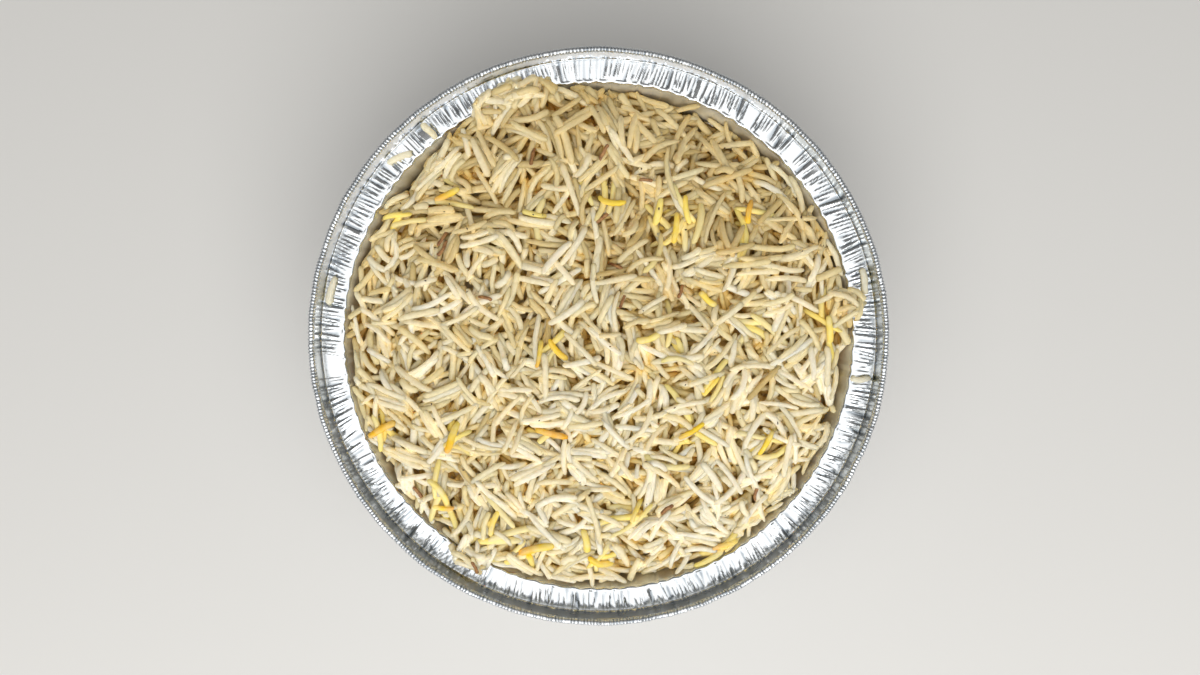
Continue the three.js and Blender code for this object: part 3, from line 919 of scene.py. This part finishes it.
# the directions, in radians, of the knots of a line that zigzags round the pan
def zigzagKnots(gapDegrees, spread):
    count = int(360 / gapDegrees)
    gaps = foilRandom.lognormal(0, spread, count)
    return np.cumsum(gaps) / gaps.sum() * fullTurn


def smoothRound(angles, waves, seed):
    picker = np.random.default_rng(seed)
    return sum(picker.normal(0, 1 / math.sqrt(len(waves))) * np.cos(wave * angles + picker.random() * 6.3)
               for wave in waves)


wall = [(wallRadius(z), z) for z in np.linspace(foil["rimFoot"], pan["ledgeHeight"] - 1.0, 4)]
mouth = arc(pan["mouthRadius"] + 1.15, pan["ledgeHeight"] - 0.75, 1.05, 168, 92, 4)
mouth = [(radius, min(z, pan["ledgeHeight"])) for radius, z in mouth]
ledge = [(radius, pan["ledgeHeight"]) for radius in np.linspace(83.4, 88.7, 10)]
turnUp = pan["lipFillet"]
foot = arc(pan["lipRadius"] - turnUp, pan["ledgeHeight"] + turnUp, turnUp, -75, 0, 4)
lip = [(pan["lipRadius"] + 0.02 * (z - 45.2), z) for z in (46.0, 47.6, 49.2, 50.4)]
topLine = wall + mouth + ledge + foot + lip
topNormals = foilNormals(topLine)
underPicks = list(range(len(topLine) - 1, 0, -2)) + [0]
underDepths = [pan["foil"] if i else foil["footFoil"] for i in underPicks]
underLine = [
    tuple(np.array(topLine[i]) - topNormals[i] * deep) for i, deep in zip(underPicks, underDepths)
]
rimSection = topLine + underLine + topLine[:1]


# for each row of the section, how far along the top it lies from the mouth, and which way is out
def rimRows():
    steps = np.linalg.norm(np.diff(np.array(topLine), axis=0), axis=1)
    lengths = np.concatenate([[0], np.cumsum(steps)])
    start = lengths[len(wall) + 1]
    rows = [(float(length - start), normal) for length, normal in zip(lengths, topNormals)]
    return rows + [rows[i] for i in underPicks] + rows[:1]


folds = zigzagKnots(foil["foldGap"], 0.42)
foldCount = len(folds)
foldSlopes = foilRandom.uniform(0.35, 1.3, foldCount) * foil["foldSlope"]
for direction, half, left in foil["flattened"]:
    flat = degreesFrom(np.degrees(folds), direction) < half
    foldSlopes = np.where(flat, foldSlopes * left, foldSlopes)
slants = 0.0016 * smoothRound(folds, range(5, 17), 3) + foilRandom.normal(0, 0.0008, foldCount)
starts = foilRandom.uniform(-0.6, 1.6, foldCount)
foldSides = np.where(np.arange(foldCount) % 2, 1.0, -1.0)


# fold lines run out across the ledge, and where two meet the facet between them ends
def foldShape(angles, distance):
    growth = between(distance, starts, starts + 1.3) * (1 - 0.95 * between(distance, 7.6, 9.2))
    knots = (folds + slants * np.clip(distance - 4.5, -4.5, 5.5)) % fullTurn
    order = np.argsort(knots)
    knots = knots[order]
    gaps = (np.roll(knots, -1) - knots) % fullTurn * 86
    room = np.minimum(gaps, np.roll(gaps, 1)) * foldSlopes[order]
    values = foldSides[order] * np.minimum(room, foil["foldDepth"]) * growth[order]
    return np.interp(angles, knots, values, period=fullTurn)


fluteKnots = np.round(zigzagKnots(360 / (foil["flutes"] * 2), 0.3) / fullTurn * foil["tubColumns"])
fluteKnots = np.unique(fluteKnots) / foil["tubColumns"] * fullTurn
fluteSides = np.where(np.arange(len(fluteKnots)) % 2, 1, -1)
fluteHeights = foilRandom.uniform(0.35, 1.0, len(fluteKnots)) * fluteSides


def fluteShape(angles, z):
    share = np.clip((z - 5) / 39, 0, 1)
    return np.interp(angles, fluteKnots, fluteHeights, period=fullTurn) * foil["fluteDepth"] * share


# each point's row in the section it was spun from, its direction and its radius
def spunFrom(section, points):
    radius, angles = roundPlaces(points)
    section = np.array(section)
    row = np.empty(len(points), int)
    for start in range(0, len(points), 20000):
        part = slice(start, start + 20000)
        across = radius[part, None] - section[None, :, 0]
        row[part] = np.hypot(across, points[part, 2, None] - section[None, :, 1]).argmin(1)
    return row, angles, radius


def crumpled(angles):
    direction, half = foil["crinkled"]
    away = degreesFrom(np.degrees(angles), direction)
    return np.clip((half - away) / 14 + 0.5, 0, 1)


# small facets all over a strip: random heights on a lattice of directions
def facets(angles, count, seed):
    picker = np.random.default_rng(seed)
    knots = (np.arange(count) + picker.uniform(-0.35, 0.35, count)) * fullTurn / count
    return np.interp(angles, knots, picker.uniform(-1, 1, count), period=fullTurn)


def shapeRim(piece):
    points = readPoints(piece)
    row, angles, radius = spunFrom(rimSection, points)
    wave = 0.06 * smoothRound(angles, range(3, 30), 21)
    valley = np.zeros(len(points))
    # painted shade: the smooth part of the lip, away from the lamps, is darkened and warmed
    paintedLipShade = (1 - crumpled(angles)) * between(points[:, 2], 44.6, 45.4)
    # the crumpled part of the lip is made near white and matte: rough crumpled foil, and partly painted
    # light on the lip's lit side
    frostAndPaintedLight = crumpled(angles) * between(points[:, 2], 45, 45.8)
    film = between(-points[:, 2], -43.6, -42.8)
    paintedLipShade, frostAndPaintedLight, film = (amount * (row > 0) * (row < len(topLine)) for amount in (paintedLipShade, frostAndPaintedLight, film))
    for number, (distance, out) in enumerate(rimRows()):
        mine = row == number
        turn = angles[mine]
        rise = foil["ledgeRise"] * between(distance, 1, 6.5) * between(-distance, -9.4, -7.8)
        move = foldShape(turn, distance)
        # painted shade: the valley value darkens the fold creases in the foil's colour
        valley[mine] = np.clip(-4 * move - 0.05, 0, 0.7)
        move += wave[mine] * between(distance, 0, 3) * between(-distance, -14, -9)
        if distance < 0.6:
            move += -fluteShape(turn, pan["ledgeHeight"] + distance) * between(-distance, -0.6, 0)
        if distance > 8.6:
            crinkles = facets(turn, foil["crinkles"], 60 + int(distance * 2))
            move += foil["crinkleDepth"] * crumpled(turn) * crinkles
        radius[mine] += out[0] * (move + rise)
        points[mine, 2] += out[1] * (move + rise)
    writeRound(piece, radius, angles, points[:, 2])
    for name, values in {"valley": valley, "paintedLipShade": paintedLipShade, "frostAndPaintedLight": frostAndPaintedLight, "film": film}.items():
        pointValues(piece, name, values)
    centres = np.empty(len(piece.data.polygons) * 3, np.float32)
    piece.data.polygons.foreach_get("center", centres)
    centres = centres.reshape(-1, 3) / mm
    centreRadius = np.hypot(centres[:, 0], centres[:, 1])
    onLedge = (centreRadius > 82.6) & (centreRadius < 89) & (centres[:, 2] > 43) & (centres[:, 2] < 45)
    piece.data.polygons.foreach_set("use_smooth", ~onLedge)


rim = turned("foil_rim", rimSection, foil["rimColumns"])
shapeRim(rim)
print("rim made")

# the rolled hem, crimped across by fine teeth
hemCentre = (pan["rimRadius"] - foil["hemRadius"], pan["rimHeight"] - foil["hemRadius"])
skirt = [(89.88, 49.5), (89.84, 50.0), (89.72, 50.5)]
bead = arc(*hemCentre, foil["hemRadius"], 185, -130, 15)
hemSection = skirt + bead + [(90.2, 50.2), (90.16, 49.5)] + skirt[:1]
teeth = np.arange(foil["hemTeeth"]) * fullTurn / foil["hemTeeth"]
teeth = teeth + foilRandom.normal(0, 0.0014, len(teeth))
toothHeights = foilRandom.uniform(0.35, 1.0, len(teeth))
toothSlant = foilRandom.normal(0, 0.0015, len(teeth)) + 0.002 * smoothRound(teeth, range(4, 20), 9)


# narrow grooves between broad rounded teeth
def toothShape(angles, climb):
    half = math.pi / foil["hemTeeth"]
    grooves = teeth + toothSlant * (climb - 1)
    ridge = (toothHeights + np.roll(toothHeights, -1)) / 2
    knots = [grooves, grooves - 0.6 * half, grooves + 0.6 * half, grooves + half]
    values = [-toothHeights, 0.02 * toothHeights, 0.06 * toothHeights, 0.3 * ridge]
    knots, values = np.concatenate(knots) % fullTurn, np.concatenate(values)
    order = np.argsort(knots)
    return np.interp(angles, knots[order], values[order], period=fullTurn) * foil["toothDepth"]


def shapeHem(piece):
    points = readPoints(piece)
    row, angles, radius = spunFrom(hemSection, points)
    bend = 0.12 * smoothRound(angles, range(6, 60), 33)
    last = len(skirt) + len(bead)
    valley = np.zeros(len(points))
    for number, (sectionRadius, height) in enumerate(hemSection):
        mine = row == number
        out = np.array([sectionRadius - hemCentre[0], height - hemCentre[1]])
        out = out / np.linalg.norm(out)
        if number < len(skirt) or number == len(hemSection) - 1:
            out = np.array([-1.0, 0.0])
        share = (0.25, 0.5, 0.8)[number] if number < len(skirt) else float(number < last)
        move = toothShape(angles[mine], number / 6) * share
        # painted shade: the valley value darkens the grooves between the teeth
        valley[mine] = np.clip(-move / foil["toothDepth"] - 0.1, 0, 1)
        move += 0.05 * share * smoothRound(angles[mine], (301, 433, 557, 689), 40 + number // 3)
        radius[mine] += out[0] * move + bend[mine] * 0.6
        points[mine, 2] += out[1] * move + bend[mine] * share * 0.8
    writeRound(piece, radius, angles, points[:, 2])
    pointValues(piece, "valley", valley)


hem = turned("foil_hem", hemSection, foil["hemTeeth"] * 7)
shapeHem(hem)
print("hem made")

base, raised = pan["foil"], 0.75  # a raised ring runs round the base
tubLine = [(0, base), (20, base), (40, base), (54, base), (55.2, raised), (58.6, raised), (59.8, base)]
tubLine += arc(pan["baseRadius"] - 3.1, base + pan["baseFillet"], pan["baseFillet"], -90, -21, 5)
tubLine += [(wallRadius(z), z) for z in np.linspace(6, foil["rimFoot"] + 0.4, 9)]
tubNormals = foilNormals(tubLine)
tubOuter = [
    tuple(np.array(point) - normal * pan["foil"] * 0.8) for point, normal in zip(tubLine, tubNormals)
]
tubOuter[0] = (0, 0.0)
tubOuter[-1] = tuple(np.array(tubLine[-1]) - tubNormals[-1] * foil["footFoil"] * 0.85)
tubSection = tubLine + [(radius, max(z, 0.0)) for radius, z in reversed(tubOuter)]
tub = turned("foil_tub", tubSection, foil["tubColumns"])
points = readPoints(tub)
radius, angles = roundPlaces(points)
radius = radius + np.where(radius > 60, fluteShape(angles, points[:, 2]), 0)
writeRound(tub, radius, angles, points[:, 2])
print("tub made")


def foilMaterial(name):
    material, tree, shader = newMaterial(name)
    place = tree.nodes.new("ShaderNodeTexCoord").outputs["Object"]
    patches = noise(tree, place, 60, 4)
    body = ramp(tree, patches, [(0.3, (0.68, 0.72, 0.76)), (0.65, (0.78, 0.81, 0.84))])
    # painted shade: the creases of the ledge and the grooves between the hem's teeth are darkened
    paintedCreaseShade = ramp(tree, pointValue(tree, "valley"), [
        (0.0, (1.0, 1.0, 1.0)), (0.4, (0.62, 0.65, 0.68)), (1.0, (0.2, 0.22, 0.24)),
    ])
    body = tinted(tree, body, paintedCreaseShade)
    # painted shade on the smooth part of the lip
    paintedLipShade = pointValue(tree, "paintedLipShade")
    body = mixColours(tree, paintedLipShade, body, tinted(tree, body, (0.85, 0.82, 0.75)))
    # the crumpled part of the lip is whitened: rough crumpled foil, and partly painted light on its lit
    # side
    frostAndPaintedLight, film = pointValue(tree, "frostAndPaintedLight"), pointValue(tree, "film")
    body = mixColours(tree, frostAndPaintedLight, body, (0.95, 0.96, 0.97))
    starch = ramp(tree, noise(tree, place, 130, 5), [
        (0.35, (0.5, 0.44, 0.29)), (0.65, (0.72, 0.68, 0.54)),
    ])
    body = mixColours(tree, film, body, starch)
    tree.links.new(body, shader.inputs["Base Color"])
    covered = calculate(tree, "MULTIPLY", calculate(tree, "MAXIMUM", frostAndPaintedLight, film), 0.55)
    tree.links.new(calculate(tree, "SUBTRACT", 1.0, covered), shader.inputs["Metallic"])
    rough = fromTo(tree, noise(tree, place, 240, 5), 0.3, 0.7, 0.09, 0.19)
    height = tree.nodes.new("ShaderNodeSeparateXYZ")
    tree.links.new(place, height.inputs[0])
    upright = fromTo(tree, height.outputs["Z"], 44.6 * mm, 45.8 * mm, 0.0, 0.16)
    rough = calculate(tree, "ADD", rough, upright)
    rough = calculate(tree, "ADD", rough, calculate(tree, "MULTIPLY", covered, 0.6))
    tree.links.new(rough, shader.inputs["Roughness"])
    crumple = noise(tree, place, 420, 4, 0.5)
    bump(tree, shader, crumple, 0.05, 0.0003)
    return material


foilLook = foilMaterial("foil_bright")
for piece in (rim, hem, tub):
    piece.data.materials.append(foilLook)
    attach(piece, "root")
    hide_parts("foil_pan")

# floor, light and camera
nothingSelected()
bpy.ops.mesh.primitive_plane_add(size=4, location=(0, 0, 0))
floor = bpy.context.object
floor.name = "floor"
floorLook, tree, shader = newMaterial("pale_floor")
shader.inputs["Base Color"].default_value = (0.72, 0.72, 0.71, 1)
shader.inputs["Roughness"].default_value = 0.7
floor.data.materials.append(floorLook)

light = {
    "sky": (1.0, 0.97, 0.92),
    "skyStrength": 0.22,
    "ceilingPlace": (0, -0.55, 0.95),
    "ceilingSize": (2.0, 1.58),
    "ceilingPower": 12.4,
    "ceilingColour": (1.0, 0.985, 0.96),
    "windowPlace": (0.08, -1.0, 0.74),
    "windowSize": (1.3, 0.8),
    "windowPower": 9.2,
    "windowColour": (1.0, 0.98, 0.95),
}
world = bpy.data.worlds.new("studio")
world.use_nodes = True
background = world.node_tree.nodes["Background"]
background.inputs["Color"].default_value = (*light["sky"], 1)
background.inputs["Strength"].default_value = light["skyStrength"]
bpy.context.scene.world = world


def areaLight(name):
    data = bpy.data.lights.new(name, "AREA")
    data.shape = "RECTANGLE"
    data.size, data.size_y = light[name + "Size"]
    data.energy = light[name + "Power"]
    data.color = light[name + "Colour"]
    lamp = bpy.data.objects.new(name, data)
    lamp.location = light[name + "Place"]
    bpy.context.scene.collection.objects.link(lamp)


areaLight("ceiling")
areaLight("window")

view = {"place": (0.0044, 0.0248, 0.3227), "turn": (-4.8, 0.75, 0.0), "lens": 26.0, "sensor": 36}
cameraData = bpy.data.cameras.new("camera")
cameraData.lens = view["lens"]
cameraData.sensor_width = view["sensor"]
cameraData.clip_start = 0.01
camera = bpy.data.objects.new("camera", cameraData)
camera.location = view["place"]
camera.rotation_euler = [math.radians(degrees) for degrees in view["turn"]]
bpy.context.scene.collection.objects.link(camera)
bpy.context.scene.camera = camera
bpy.context.scene.view_settings.view_transform = "Standard"
